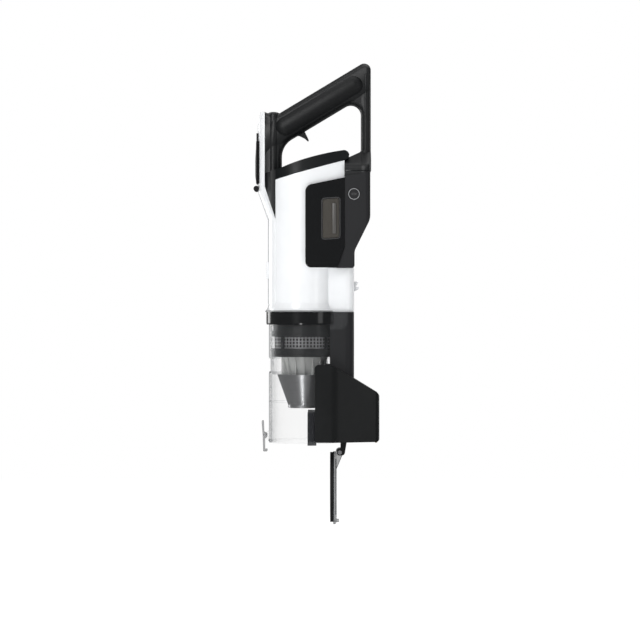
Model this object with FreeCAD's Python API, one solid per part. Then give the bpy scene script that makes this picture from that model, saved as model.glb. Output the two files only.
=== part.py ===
import FreeCAD, Part
import math
import os

# Cordless stick vacuum, main unit: loop handle, motor housing, battery pack and dust cup.
# Millimetres. +Z is up, +X points to the rear (battery) side, and the origin is the centre
# of the wand socket's mouth, on the underside of the inlet housing.

# Gaps and walls
play = 0.3                 # between pieces of different bodies
pin_play = 0.05            # radial, round hinge pins
wall = 2.2                 # moulded shells

# Inlet housing and wand socket
wand_bore = 36.0           # diameter
wand_depth = 44.0
inlet_height = 92.0
inlet_rear = 20.4          # socket centre to the rear face
inlet_half_width = 25.0    # at the rear face
inlet_slope_height = 57.0  # height of the rear face
spine_rear = 9.8           # socket centre back to the lower spine's rear face
spine_half_width = 30.0

# Dust cup
cup_radius = 42.7
socket_clearance = 26.3    # socket centre to the cup's wall
cup_setback = cup_radius + socket_clearance
cup_wall = 2.0
cup_length = 141.0         # bottom rim to the collar
cup_drop = 1.2             # bottom rim below the socket's mouth
cup_waist_depth = 2.0      # band where the cup steps in
cup_lid_depth = 8.0        # part of the cup inside the collar
collar_height = 15.0
collar_overhang = 3.1      # collar radius beyond the cup's

# Cyclone
shroud_radius = 39.4
drum_radius = 35.8
cone_top_radius = 32.6
cone_bottom_radius = 19.7
funnel_top_radius = 27.7
funnel_bottom_radius = 21.1
inlet_duct_width = 20.0
filter_thickness = 10.0

# Door and latch
pin_radius = 2.5
ear_radius = 3.6           # ears and their round ends, about the pin
door_thickness = 4.0
gasket_height = 3.6
gasket_width = 3.0
latch_width = 14.0

# Motor housing
body_setback = 71.5
body_radius = 40.5
body_stretch = 9.6         # how much further back the upper section reaches
body_rear_half = 33.0      # half-width of the upper section's flat rear face
slope_height = 24.5        # foot of that rear face, where it steps back to the round
skirt_height = 9.6
skirt_flare = 4.0
low_section = 42.6         # skirt to the battery
deck_front_height = 102.5  # battery's bottom to the deck's front edge
deck_slope = 15.5          # degrees
deck_thickness = 12.2
deck_crown = 2.2
cap_overhang = 5.8         # cap's rounded rear end past the housing

# Handle
column_offset = 4.5        # column's front face ahead of the housing
column_depth = 20.3
leg_rear = 10.4            # socket centre to the leg's rear face
leg_depth = 11.7
grip_angle = 31.0          # degrees
grip_thickness = 33.3
grip_half_width = 15.0
grip_edge = 5.4            # rounding of the loop's long edges
grip_corner = 8.0          # rounding of the grip's rear corner
handle_wall = 2.6
trigger_half_width = 7.0
trigger_reach = 24.0       # pivot down to the fin's tip
hole_front_height = 28.9   # finger hole at the column
pad_thickness = 2.6
apron_half_width = 25.0
apron_height = 41.3        # tapering end of the column, down the housing's front

# Front spine cover and display
cover_half_width = 25.0
cover_step = 0.8           # proud of the housing
cover_bulge = 8.4          # ahead of the column, at the display
slant_drop = 10.0          # deck to the top of the cover's slant
slant_height = 33.5
display_gap = 9.5          # slant to the display lens
display_length = 51.5
display_half_width = 10.0
display_depth = 3.2        # lens proud of the cover
mode_height = 8.6
bumper_radius = 3.3
horn_height = 4.6          # front tip of the handle above the grip's line

# Battery pack
battery_depth = 30.5
cheek_stand = 3.5          # cheek's outer face off the housing
battery_rise = 6.5         # battery's top above the deck's front edge
battery_height = deck_front_height + battery_rise
cheek_length = 46.7
cell_radius = 9.1
cell_length = 65.0
cell_shift = 0.75          # off centre, to clear the gauge button
release_width = 19.9
release_height = 48.4
release_travel = 1.0
gauge_radius = 6.9

# Motor
motor_radius = 27.0
motor_height = 34.0
shaft_radius = 2.5
impeller_radius = 30.0
impeller_height = 13.0

# Places worked out from the sizes
cup_x = -cup_setback
cup_z = -cup_drop
collar_z = cup_z + cup_length
parting_z = collar_z + collar_height
skirt_z = parting_z + play
body_z = skirt_z + skirt_height
battery_z = body_z + low_section
body_x = -body_setback
body_front_x = body_x - body_radius
body_rear_x = body_x + body_stretch + body_radius
column_x = body_front_x - column_offset
hole_front_x = column_x + column_depth
hole_rear_x = leg_rear - leg_depth
deck_rise = math.tan(math.radians(deck_slope))
grip_rise = math.tan(math.radians(grip_angle))
spine_rear_x = -spine_rear


def deck_z(x):
    return battery_z + deck_front_height + (x - body_front_x) * deck_rise


def deck_top_z(x):
    return deck_z(x) + deck_thickness


def ceiling_z(x):
    # Underside of the grip, the top of the finger hole.
    start = deck_top_z(hole_front_x) + hole_front_height
    return start + (x - hole_front_x) * grip_rise


def grip_top_z(x):
    return ceiling_z(x) + grip_thickness / math.cos(math.radians(grip_angle))


battery_top_z = battery_z + battery_height
leg_z = deck_z(body_rear_x) + 6.5
battery_front_x = body_rear_x + play
battery_rear_x = battery_front_x + battery_depth
battery_half_width = body_rear_half + cheek_stand
cheek_front_x = battery_front_x - cheek_length
cover_x = body_front_x - cover_step


def rounded_wire(points, to_space):
    # Closed outline through (u, v, radius) corners, each rounded by a tangent arc.
    corners = [FreeCAD.Vector(u, v, 0) for u, v, radius in points]
    joints = []
    for i, (u, v, radius) in enumerate(points):
        here = corners[i]
        back = (corners[i - 1] - here).normalize()
        ahead = (corners[(i + 1) % len(points)] - here).normalize()
        if radius <= 0:
            joints.append((here, here, here))
            continue
        half_angle = back.getAngle(ahead) / 2
        reach = radius / math.tan(half_angle)
        bisector = (back + ahead).normalize()
        middle = here + bisector * (radius / math.sin(half_angle) - radius)
        joints.append((here + back * reach, middle, here + ahead * reach))
    edges = []
    for i, (start, middle, end) in enumerate(joints):
        if (end - start).Length > 0.001:
            edges.append(Part.Arc(to_space(start), to_space(middle), to_space(end)).toShape())
        following = joints[(i + 1) % len(joints)][0]
        if (following - end).Length > 0.001:
            edges.append(Part.makeLine(to_space(end), to_space(following)))
    return Part.Wire(edges)


def prism_y(points, y0, y1):
    # Outline in X and Z, from y0 to y1.
    wire = rounded_wire(points, lambda p: FreeCAD.Vector(p.x, y0, p.y))
    return Part.Face(wire).extrude(FreeCAD.Vector(0, y1 - y0, 0))


def prism_z(points, z0, z1):
    # Outline in X and Y, from z0 to z1.
    wire = rounded_wire(points, lambda p: FreeCAD.Vector(p.x, p.y, z0))
    return Part.Face(wire).extrude(FreeCAD.Vector(0, 0, z1 - z0))


def prism_x(points, x0, x1):
    # Outline in Y and Z, from x0 to x1.
    wire = rounded_wire(points, lambda p: FreeCAD.Vector(x0, p.x, p.y))
    return Part.Face(wire).extrude(FreeCAD.Vector(x1 - x0, 0, 0))


def box(x0, x1, y0, y1, z0, z1):
    return Part.makeBox(x1 - x0, y1 - y0, z1 - z0, FreeCAD.Vector(x0, y0, z0))


def rod_z(x, y, z0, z1, radius):
    return Part.makeCylinder(radius, z1 - z0, FreeCAD.Vector(x, y, z0))


def rod_y(x, z, y0, y1, radius):
    return Part.makeCylinder(radius, y1 - y0, FreeCAD.Vector(x, y0, z), FreeCAD.Vector(0, 1, 0))


def rod_x(y, z, x0, x1, radius):
    return Part.makeCylinder(radius, x1 - x0, FreeCAD.Vector(x0, y, z), FreeCAD.Vector(1, 0, 0))


def tube_z(x, z0, z1, outer, inner):
    return rod_z(x, 0, z0, z1, outer).cut(rod_z(x, 0, z0 - 1, z1 + 1, inner))


def ring_profile(x, points):
    # Solid of revolution about the vertical axis at x, from (radius, z) corners.
    corners = [FreeCAD.Vector(x + r, 0, z) for r, z in points]
    face = Part.Face(Part.makePolygon(corners + corners[:1]))
    return face.revolve(FreeCAD.Vector(x, 0, 0), FreeCAD.Vector(0, 0, 1), 360)


def upper_plan(radius, rear_x, rear_half, z0, z1):
    # Plan of the housing's upper section: round in front, drawn in a little to a flat rear face.
    depth = rear_x - body_x
    narrowing = radius - rear_half
    side_radius = (depth ** 2 + narrowing ** 2) / (2 * narrowing)
    half_angle = math.asin(depth / side_radius) / 2
    side_x = body_x + side_radius * math.sin(half_angle)
    side_y = radius - side_radius * (1 - math.cos(half_angle))
    right = FreeCAD.Vector(body_x, radius, z0)
    left = FreeCAD.Vector(body_x, -radius, z0)
    rear_right = FreeCAD.Vector(rear_x, rear_half, z0)
    rear_left = FreeCAD.Vector(rear_x, -rear_half, z0)
    edges = [
        Part.Arc(left, FreeCAD.Vector(body_x - radius, 0, z0), right).toShape(),
        Part.Arc(right, FreeCAD.Vector(side_x, side_y, z0), rear_right).toShape(),
        Part.makeLine(rear_right, rear_left),
        Part.Arc(rear_left, FreeCAD.Vector(side_x, -side_y, z0), left).toShape()]
    return Part.Face(Part.Wire(edges)).extrude(FreeCAD.Vector(0, 0, z1 - z0))


def stadium(radius, z0, z1):
    # The upper section grown or shrunk evenly from the housing's own outline.
    growth = radius - body_radius
    return upper_plan(radius, body_rear_x + growth, body_rear_half + growth, z0, z1)


def rounded_block(x0, x1, y0, y1, z0, z1, radius):
    # Block with its four edges along Z rounded.
    corners = [(x0, y0, radius), (x1, y0, radius), (x1, y1, radius), (x0, y1, radius)]
    return prism_z(corners, z0, z1)


pieces = {}


def add(name, shape):
    pieces[name] = shape.removeSplitter()


def add_halves(name_left, name_right, shape):
    # Left is towards -Y, right towards +Y.
    bound = shape.BoundBox
    left = box(bound.XMin - 1, bound.XMax + 1, bound.YMin - 1, 0, bound.ZMin - 1, bound.ZMax + 1)
    right = box(bound.XMin - 1, bound.XMax + 1, 0, bound.YMax + 1, bound.ZMin - 1, bound.ZMax + 1)
    add(name_left, shape.common(left))
    add(name_right, shape.common(right))


# Motor housing: two white halves round the motor, open at the bottom over the filter
front_slot = box(body_front_x - 10, body_x - 12, -cover_half_width, cover_half_width, body_z - 1,
    battery_z + 200)
recess_radius = body_radius - wall + cover_step
front_step = tube_z(body_x, body_z - 1, battery_z + 200, body_radius + 20, recess_radius)
front_recess = front_slot.common(front_step)
housing_inner = body_radius - wall


def under_deck(lower):
    # Everything below the deck line, lowered by a distance.
    front = body_front_x - 30
    rear = body_rear_x + 60
    points = [(front, -50, 0), (rear, -50, 0), (rear, deck_z(rear) - lower, 0),
        (front, deck_z(front) - lower, 0)]
    return prism_y(points, -80, 80)


def rear_slope(inset):
    # Wedge under the upper section's rear face, where the battery reaches forward.
    foot_x = body_x + body_radius - inset
    face_x = body_rear_x - inset
    points = [(foot_x, battery_z - 5, 0), (face_x + 40, battery_z - 5, 0),
        (face_x + 40, battery_z + slope_height, 0),
              (face_x, battery_z + slope_height, 0), (foot_x, battery_z, 0)]
    return prism_y(points, -80, 80)


def housing_solid(radius, z0, z1):
    inset = body_radius - radius
    low = rod_z(body_x, 0, z0, z1, radius)
    return low.fuse(stadium(radius, battery_z + inset, z1).cut(rear_slope(inset)))


top_reach = battery_z + deck_front_height + 60
outer = housing_solid(body_radius, body_z, top_reach).common(under_deck(0))
inner = housing_solid(housing_inner, body_z - 1, top_reach).common(under_deck(wall))
slot_lining = front_slot.common(tube_z(body_x, body_z, top_reach, body_radius, recess_radius - wall))
inner = inner.cut(slot_lining)
exhaust_port = rod_z(body_x, 0, battery_z + 60, top_reach, 24)
contact_z = battery_z + slope_height + 3
contact_port = box(body_rear_x - 8, body_rear_x + 5, -12, 12, contact_z - 1, contact_z + 7)
housing = outer.cut(front_recess).cut(inner).cut(exhaust_port).cut(contact_port)
add_halves("housing_left", "housing_right", housing)

# Flared skirt under the housing
flare_top = body_radius + 0.2
skirt_points = [
    (housing_inner - 3, body_z - 3), (housing_inner - 3, body_z), (flare_top, body_z),
    (flare_top + skirt_flare * 0.35, skirt_z + skirt_height * 0.4), (flare_top + skirt_flare, skirt_z),
    (flare_top + skirt_flare - wall, skirt_z), (flare_top - wall, body_z - 3),
]
spine_socket = box(body_x + 25, spine_rear_x + 5, -spine_half_width + 4, spine_half_width - 4, skirt_z - 1,
    body_z + 1)
skirt = ring_profile(body_x, skirt_points)
add("housing_skirt", skirt.cut(spine_socket))


# Rear spine cover, white, from the battery down to the parting line, with the wall dock's hook
def rear_spine(z0, z1, half_width, rear, hollow):
    x0 = body_x + 14
    corners = [(x0, -half_width, 0), (rear, -half_width, 11 - hollow), (rear, half_width, 11 - hollow),
        (x0, half_width, 0)]
    return prism_z(corners, z0, z1)


rear_outer = rear_spine(skirt_z, battery_z - play, spine_half_width - 4, spine_rear_x, 0)
rear_inner = rear_spine(skirt_z - 1, battery_z - play - wall, spine_half_width - 4 - wall,
    spine_rear_x - wall, wall)
clear_of_body = rod_z(body_x, 0, skirt_z - 1, battery_z + 1, body_radius)
rear_cover = rear_outer.cut(rear_inner).cut(clear_of_body)
hook_z = skirt_z + 24
hook_height = 12
hook_reach = 6
prong_points = [
    (spine_rear_x - 1, hook_z, 0), (spine_rear_x + hook_reach, hook_z + 3, 1), (spine_rear_x + hook_reach,
        hook_z + 6, 1),
    (spine_rear_x + 2, hook_z + hook_height / 2, 0), (spine_rear_x + hook_reach, hook_z + hook_height, 1),
    (spine_rear_x - 1, hook_z + hook_height, 0)]
hook = prism_y(prong_points, -9, 9)
add("rear_spine_cover", rear_cover.fuse(hook))


slant_z = deck_z(column_x) - slant_drop
slant_foot_z = slant_z - slant_height
bulge_x = column_x - cover_bulge
apron_z = slant_z + 6.3
apron_tip_x = body_front_x + 9.3
apron_tip_z = apron_z - apron_height
display_z = slant_z + display_gap
mode_z = display_z + display_length + 0.8
horn_x = column_x + 12.5
horn_z = grip_top_z(horn_x) + horn_height


# Top cap over the exhaust, black, reaching back over the battery
def cap_outline():
    front = body_front_x - 5
    middle = (body_front_x + body_rear_x) / 2
    rear_z = deck_z(body_rear_x)
    top_front = FreeCAD.Vector(front, 0, deck_top_z(front))
    shoulder = FreeCAD.Vector(hole_front_x, 0, deck_top_z(hole_front_x))
    top_middle = FreeCAD.Vector(middle, 0, deck_top_z(middle) + deck_crown)
    top_rear = FreeCAD.Vector(body_rear_x - 1, 0, deck_top_z(body_rear_x - 1))
    bump = FreeCAD.Vector(body_rear_x + cap_overhang - 1.3, 0, rear_z + 9.6)
    tip = FreeCAD.Vector(body_rear_x + cap_overhang, 0, rear_z + 6.5)
    corners = [
        tip, FreeCAD.Vector(body_rear_x + cap_overhang - 0.6, 0, rear_z + 3), FreeCAD.Vector(body_rear_x, 0,
            rear_z),
        FreeCAD.Vector(front, 0, deck_z(front)), top_front, shoulder]
    edges = [Part.makeLine(start, end) for start, end in zip(corners, corners[1:])]
    edges.append(Part.Arc(shoulder, top_middle, top_rear).toShape())
    edges.append(Part.Arc(top_rear, bump, tip).toShape())
    return Part.Wire(edges)


battery_top_rear_z = battery_top_z + 5.7
cap_wire = cap_outline()
cap_wire.translate(FreeCAD.Vector(0, -60, 0))
cap_prism = Part.Face(cap_wire).extrude(FreeCAD.Vector(0, 120, 0))
cap_reach = upper_plan(body_radius, body_rear_x + cap_overhang, body_rear_half - 0.8, battery_z,
    battery_z + 200)
cap_solid = cap_prism.common(cap_reach).removeSplitter()

# Foot of the handle's rear leg, over the battery
foot_points = [
    (body_rear_x, battery_top_z + play, 0), (leg_rear, battery_top_rear_z + play, 1), (leg_rear, leg_z + 5,
        0),
    (hole_rear_x, leg_z + 5, 0), (hole_rear_x - 14, leg_z - 2, 0), (body_rear_x, leg_z - 4, 0)]


def foot_solid(inset):
    face = Part.Face(rounded_wire(foot_points, lambda p: FreeCAD.Vector(p.x, -60, p.y)))
    if inset > 0:
        face = face.makeOffset2D(-inset)
    half = battery_half_width - 0.5 - inset
    narrow = grip_half_width - 3 - inset
    front_view = prism_x([
        (-half, battery_top_z - 5, 0), (half, battery_top_z - 5, 0), (half, battery_top_z + 13 - inset, 8),
        (narrow, leg_z + 6 - inset, 0), (-narrow, leg_z + 6 - inset, 0), (-half, battery_top_z + 13 - inset,
            8)],
        body_rear_x - 1, leg_rear + 1)
    plan = prism_z([
        (body_rear_x - 1, -half, 0), (leg_rear - inset, -half, 7 - inset), (leg_rear - inset, half,
            7 - inset),
        (body_rear_x - 1, half, 0)], battery_top_z - 5, leg_z + 40)
    return face.extrude(FreeCAD.Vector(0, 120, 0)).common(front_view).common(plan)


# Loop handle
sole = battery_z + 60
loop_points = [
    (column_x, sole, 0), (column_x, horn_z, 0), (horn_x, grip_top_z(horn_x), 14),
    (leg_rear, grip_top_z(leg_rear), grip_corner), (leg_rear, sole, 0), (hole_rear_x - 14, sole, 0),
    (hole_rear_x - 14, leg_z - 2, 0), (hole_rear_x, leg_z + 5, 5), (hole_rear_x, ceiling_z(hole_rear_x),
        12),
    (hole_front_x, ceiling_z(hole_front_x), 25), (hole_front_x, sole, 0)]
loop = prism_y(loop_points, -grip_half_width, grip_half_width)
loop_face = Part.Face(rounded_wire(loop_points, lambda p: FreeCAD.Vector(p.x, 0, p.y)))


def long_edges(shape):
    chosen = []
    for edge in shape.Edges:
        bound = edge.BoundBox
        flat = bound.YMax - bound.YMin < 0.01 and abs(abs(bound.YMin) - grip_half_width) < 0.01
        if flat and bound.ZMax > sole + 1 and bound.XMax > column_x + 1:
            chosen.append(edge)
    return chosen


loop = loop.makeFillet(grip_edge, long_edges(loop))
loop = loop.cut(cap_prism).cut(box(body_rear_x + 2, leg_rear + 5, -60, 60, sole - 5, leg_z - 8))
loop = [solid for solid in loop.Solids if solid.BoundBox.ZMax > horn_z][0]


def along_grip(start_x, end_x, depth):
    # Band under the grip's top line, as deep as asked, square to the line at both ends.
    lean = math.sin(math.radians(grip_angle))
    drop = math.cos(math.radians(grip_angle))
    high = 12
    points = []
    for x, offset in ((start_x, high), (end_x, high), (end_x, -depth), (start_x, -depth)):
        points.append((x - lean * offset, grip_top_z(x) + drop * offset, 0))
    return prism_y(points, -40, 40)


pad_start_x = hole_front_x + 12
pad_end_x = hole_rear_x - 1
add("grip_pad", loop.common(along_grip(pad_start_x, pad_end_x, pad_thickness)))

# Tapering end of the column, down the front of the housing
apron_points = [
    (column_x, deck_top_z(column_x), 0), (column_x, apron_z, 3), (apron_tip_x, apron_tip_z, 0),
    (apron_tip_x, deck_top_z(apron_tip_x), 0)]
apron = prism_y(apron_points, -apron_half_width, apron_half_width)
apron = apron.common(rod_z(body_x, 0, apron_tip_z - 1, apron_z + 60, body_radius + column_offset))
apron = apron.cut(rod_z(body_x, 0, apron_tip_z - 1, apron_z + 60, recess_radius))
cable_slot = box(column_x - 1, column_x + 12, -5, 5, apron_z - 20, deck_z(column_x) + deck_thickness - 3)

# Trigger, its pin, and the switch above it
pivot_x = hole_front_x + 19.4
pivot_z = ceiling_z(pivot_x) + 14.7
trigger_points = [
    (pivot_x - 4.5, pivot_z + 4, 3), (pivot_x + 12.5, pivot_z + 1.5, 1), (pivot_x + 12.5, pivot_z - 1.5,
        0.8),
    (pivot_x + 8.2, pivot_z - 4.5, 1), (pivot_x + 8.2, pivot_z - 10.9, 0.5),
    (pivot_x + 14.4, pivot_z - trigger_reach, 0.8), (pivot_x + 8, pivot_z - 18.4, 6),
    (pivot_x + 1.5, pivot_z - 15.2, 4), (pivot_x - 3.9, pivot_z - 15.6, 1)]
trigger = prism_y(trigger_points, -trigger_half_width, trigger_half_width)
trigger_pin_radius = 1.5
trigger_pin_half = grip_half_width - 1.2
trigger = trigger.cut(rod_y(pivot_x, pivot_z, -20, 20, trigger_pin_radius + pin_play))
add("trigger", trigger)
trigger_pin = rod_y(pivot_x, pivot_z, -trigger_pin_half, trigger_pin_half, trigger_pin_radius)
add("trigger_pin", trigger_pin)
trigger_slot = box(pivot_x - 4.6, pivot_x + 11, -trigger_half_width - play, trigger_half_width + play,
                   pivot_z - 30, pivot_z + 3)

plunger_x = pivot_x + 10.8
plunger_radius = 1.5
plunger_z = pivot_z + 1.5 + 0.85
switch_z = plunger_z + 4.5
switch_height = 11.0
plunger_depth = 5.0
switch = box(plunger_x - 11, plunger_x + 9, -5, 5, switch_z, switch_z + switch_height)
switch = switch.cut(rod_z(plunger_x, 0, switch_z - 1, switch_z + plunger_depth + 2.6, plunger_radius + 0.1))
add("trigger_switch", switch)
add("switch_plunger", rod_z(plunger_x, 0, plunger_z, switch_z + plunger_depth, plunger_radius))

# Left and right handle shells
hollow_face = loop_face.makeOffset2D(-handle_wall)
hollow_half = grip_half_width - handle_wall
hollow_face.translate(FreeCAD.Vector(0, -hollow_half, 0))
hollow = hollow_face.extrude(FreeCAD.Vector(0, 2 * hollow_half, 0))
under_pad = along_grip(pad_start_x - handle_wall, pad_end_x + handle_wall, pad_thickness + handle_wall)
hollow = hollow.cut(under_pad)
post_spots = [(hole_front_x - 8, pivot_z - 22), (hole_rear_x - 26, ceiling_z(hole_rear_x - 26) + 16),
    (hole_rear_x + 5, leg_z + 22)]
posts = [rod_y(x, z, -grip_half_width + 1, grip_half_width - 1, 3.2) for x, z in post_spots]
foot = foot_solid(0).cut(foot_solid(wall))
handle = loop.cut(hollow).fuse(posts).fuse(apron).fuse(foot).cut(along_grip(pad_start_x, pad_end_x,
    pad_thickness))
handle = handle.cut(cap_solid).cut(cable_slot).cut(trigger_slot).cut(trigger_pin)
add_halves("handle_left_shell", "handle_right_shell", handle)


# Cap hollowed over the exhaust filter, with vents each side of the loop
def vents():
    slots = []
    for side in (-1, 1):
        for step in range(7):
            x = body_x - 14 + step * 7
            reach = math.sqrt((body_radius - 6) ** 2 - (x - body_x - body_stretch / 2) ** 2)
            low = side * (grip_half_width + 4)
            high = side * reach
            slots.append(box(x, x + 3, min(low, high), max(low, high), deck_z(x), deck_z(x) + 30))
    return slots


cap_room = stadium(body_radius - wall - 1, battery_z, battery_z + 200)
cap_inside = cap_room.common(under_deck(-deck_thickness + wall)).cut(under_deck(0))
add("top_cap", cap_solid.cut(cap_inside).cut(vents()))
filter_plan = stadium(body_radius - wall - 1.5, battery_z, battery_z + 200)
add("exhaust_filter", filter_plan.common(under_deck(-7)).cut(under_deck(-0.5)))

# Front spine cover, white: a curved strip low on the housing, then out over the display
form_low = rod_z(body_x, 0, body_z, slant_foot_z, body_radius + cover_step)
nose_radius = 20.0
nose_x = bulge_x + nose_radius
low_circle = Part.Wire(Part.makeCircle(body_radius + cover_step, FreeCAD.Vector(body_x, 0, slant_foot_z)))
nose_circle = Part.Wire(Part.makeCircle(nose_radius, FreeCAD.Vector(nose_x, 0, slant_z)))
form_slant = Part.makeLoft([low_circle, nose_circle], True, True)
form_nose = rod_z(nose_x, 0, slant_z, horn_z, nose_radius)
front_outline = [
    (cover_x - 1, apron_tip_z, 0), (cover_x - 1, slant_foot_z, 0), (bulge_x - 1, slant_z, 0),
    (bulge_x - 1, mode_z + mode_height + 6, 0), (column_x - 4.7, horn_z, 1.2), (column_x, horn_z, 0),
    (column_x, apron_z, 3), (apron_tip_x, apron_tip_z, 0)]
sides = [
    (-cover_half_width, apron_tip_z, 0), (cover_half_width, apron_tip_z, 0), (grip_half_width, slant_z, 30),
    (grip_half_width, horn_z, 2), (-grip_half_width, horn_z, 2), (-grip_half_width, slant_z, 30)]
upper = prism_y(front_outline, -cover_half_width, cover_half_width)
upper = upper.common(form_low.fuse([form_slant, form_nose])).common(prism_x(sides, bulge_x - 5,
    apron_tip_x + 5))
upper = upper.cut(rod_z(body_x, 0, body_z, horn_z, recess_radius))
lower = form_low.common(front_recess).common(box(-200, 0, -60, 60, body_z, apron_tip_z))
cover = upper.fuse(lower)

# Display lens with its board behind, and the mode button above it
lens_x = bulge_x - display_depth
lens_back_x = bulge_x + 1.6
lens_points = [
    (lens_back_x, display_z, 0), (bulge_x - 1.8, display_z, 1), (lens_x, display_z + 10, 40),
    (lens_x, display_z + display_length * 0.55, 60), (bulge_x - 1.8, display_z + display_length, 1),
    (lens_back_x, display_z + display_length, 0)]
lens = prism_y(lens_points, -display_half_width, display_half_width)
lens_round = rod_z(lens_x + 22, 0, display_z, display_z + display_length, 22)
lens = lens.common(lens_round.fuse(box(bulge_x - 2, lens_back_x, -40, 40, display_z,
    display_z + display_length)))
add("display_lens", lens)
board_bay = box(lens_back_x, column_x - 1.6, -display_half_width + 1.5, display_half_width - 1.5,
                display_z + 2, display_z + display_length - 2)
board_x = column_x - 3.4
board = box(board_x, board_x + 1.6, -display_half_width + 1.7, display_half_width - 1.7,
            display_z + 2.2, display_z + display_length - 2.2)
chips = [box(board_x - 1.6, board_x, -3, 3, display_z + 12 + 12 * i,
    display_z + 17 + 12 * i) for i in range(3)]
add("display_board", board.fuse(chips))
mode_half_width = 6.0
mode_cap = rounded_block(bulge_x - 1.7, bulge_x + 1.4, -mode_half_width, mode_half_width, mode_z,
    mode_z + mode_height, 0.8)
mode_stem = rod_x(0, mode_z + mode_height / 2, bulge_x + 1.4, column_x - 2.8, 2)
add("mode_button", mode_cap.fuse(mode_stem))
mode_room = box(bulge_x - 3, column_x - 1.4, -mode_half_width - play, mode_half_width + play,
                mode_z - play, mode_z + mode_height + play)
lens_room = box(bulge_x - 3, lens_back_x, -display_half_width, display_half_width,
                display_z, display_z + display_length)

# Rubber roller under the display
bumper_x = bulge_x - 1.8
bumper_z = slant_z + 4
bumper_half = 9.0
bumper = rod_y(bumper_x, bumper_z, -bumper_half, bumper_half, bumper_radius)
add("rest_bumper", bumper)

# Cup release: a button in the front cover with a catch bar down to the collar
release_z = body_z + 40
release_button_height = 20.4
release_button_half = 8.0
release_stroke = 2.0
release_face_x = cover_x - 1.8
release_back_x = body_x - recess_radius + 3.0
button_plan = rounded_block(release_face_x, release_back_x, -release_button_half, release_button_half,
                            release_z - release_button_height / 2, release_z + release_button_height / 2, 1.2)
add("cup_release_button", button_plan)
release_window = box(release_face_x - 2, release_back_x + 6, -release_button_half - play,
    release_button_half + play,
                     release_z - release_button_height / 2 - play, release_z + release_button_height / 2 + play)
cover = cover.cut([board_bay, mode_room, lens_room, bumper, release_window])
add("front_spine_cover", cover)

# Battery pack: a case behind the housing and a cheek on each side of it
case_points = [
    (battery_front_x, battery_z + slope_height, 0), (battery_front_x - body_stretch, battery_z,
        0), (battery_front_x + 11.7, battery_z, 3), (battery_front_x + 11.7, battery_z + 20, 14),
    (battery_rear_x, battery_top_z - 51, 22), (battery_rear_x, battery_top_rear_z, 2), (battery_front_x,
        battery_top_z, 0)]


def battery_plan(inset):
    front = battery_front_x - body_stretch - 5
    rear = battery_rear_x - inset
    half = battery_half_width - inset
    corners = [(front, -half, 0), (rear, -half, 6 - inset), (rear, half, 6 - inset), (front, half, 0)]
    return prism_z(corners, battery_z - 1, battery_top_rear_z + 1)


case_outer = prism_y(case_points, -60, 60).common(battery_plan(0))
case_face = Part.Face(rounded_wire(case_points, lambda p: FreeCAD.Vector(p.x, 0, p.y))).makeOffset2D(-wall)
case_face.translate(FreeCAD.Vector(0, -60, 0))
case_inner = case_face.extrude(FreeCAD.Vector(0, 120, 0)).common(battery_plan(wall))
gauge_x = battery_front_x + 11
gauge_z = battery_top_z - 21.7
gauge_hole = rod_y(gauge_x, gauge_z, -battery_half_width - 1, -battery_half_width + 8, gauge_radius + play)
jack_radius = 2.75
jack_face_x = battery_front_x + 11.7
jack_z = battery_z + 9.5
jack_depth = 9.0
jack_wall = 1.5
jack_seat = rod_x(0, jack_z, jack_face_x - jack_depth - jack_wall, jack_face_x, jack_radius + jack_wall)
jack_hole = rod_x(0, jack_z, jack_face_x - jack_depth, jack_face_x + 1, jack_radius)
add("battery_case", case_outer.cut([case_inner, gauge_hole, jack_seat]))
add("charge_jack", jack_seat.cut(jack_hole))
gauge_cap = rod_y(gauge_x, gauge_z, -battery_half_width - 0.4, -battery_half_width + 2.2, gauge_radius)
gauge_flange = rod_y(gauge_x, gauge_z, -battery_half_width + wall + play + 0.2,
    -battery_half_width + wall + 1.6, gauge_radius + 1.5)
add("gauge_button", gauge_cap.fuse(rod_y(gauge_x, gauge_z, -battery_half_width + 2, -battery_half_width + 3,
    4)).fuse(gauge_flange))

cell_pitch = 2 * cell_radius + 0.3
cell_room = battery_depth - 2 * wall - 2 * cell_radius
cell_stagger = cell_room - 0.5
cell_rise = math.sqrt(cell_pitch ** 2 - cell_stagger ** 2)
cell_count = int((battery_height - slope_height - 15) / cell_rise)
cells = []
for i in range(cell_count):
    cell_x = battery_front_x + wall + 0.4 + cell_radius + cell_stagger * ((i + 1) % 2)
    cell_z = battery_top_z - wall - 1 - cell_radius - i * cell_rise
    cells.append(rod_y(cell_x, cell_z, cell_shift - cell_length / 2, cell_shift + cell_length / 2,
        cell_radius))
add("battery_cells", Part.makeCompound(cells))
board_low_z = battery_z + slope_height + 0.5
battery_board = box(battery_front_x + wall + 0.4, battery_front_x + wall + 2, -16, 16, board_low_z,
    board_low_z + 14.5)
contact_half = 8.0
contacts = []
for y in (-contact_half, 0, contact_half):
    contacts.append(box(battery_front_x - 0.25, battery_front_x + wall + 0.4, y - 1.5, y + 1.5, contact_z,
        contact_z + 6))
add("battery_board", battery_board.fuse(contacts))
pieces["battery_case"] = pieces["battery_case"].cut(contacts)

cheek_top_z = battery_top_z - 2
cheek_points = [
    (cheek_front_x, battery_z, 7), (battery_front_x - body_stretch, battery_z, 0),
    (battery_front_x, battery_z + slope_height, 0), (battery_front_x, cheek_top_z, 0), (cheek_front_x,
        cheek_top_z - 9.9, 9)]


def housing_layer(near, far):
    # Layer round the housing's upper section, between two distances off its face.
    low = battery_z - 1
    high = battery_top_z + 10
    return stadium(body_radius + far, low, high).cut(stadium(body_radius + near, low, high))


window_x = battery_front_x - 16.4
window_z = battery_z + 58.3


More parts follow.
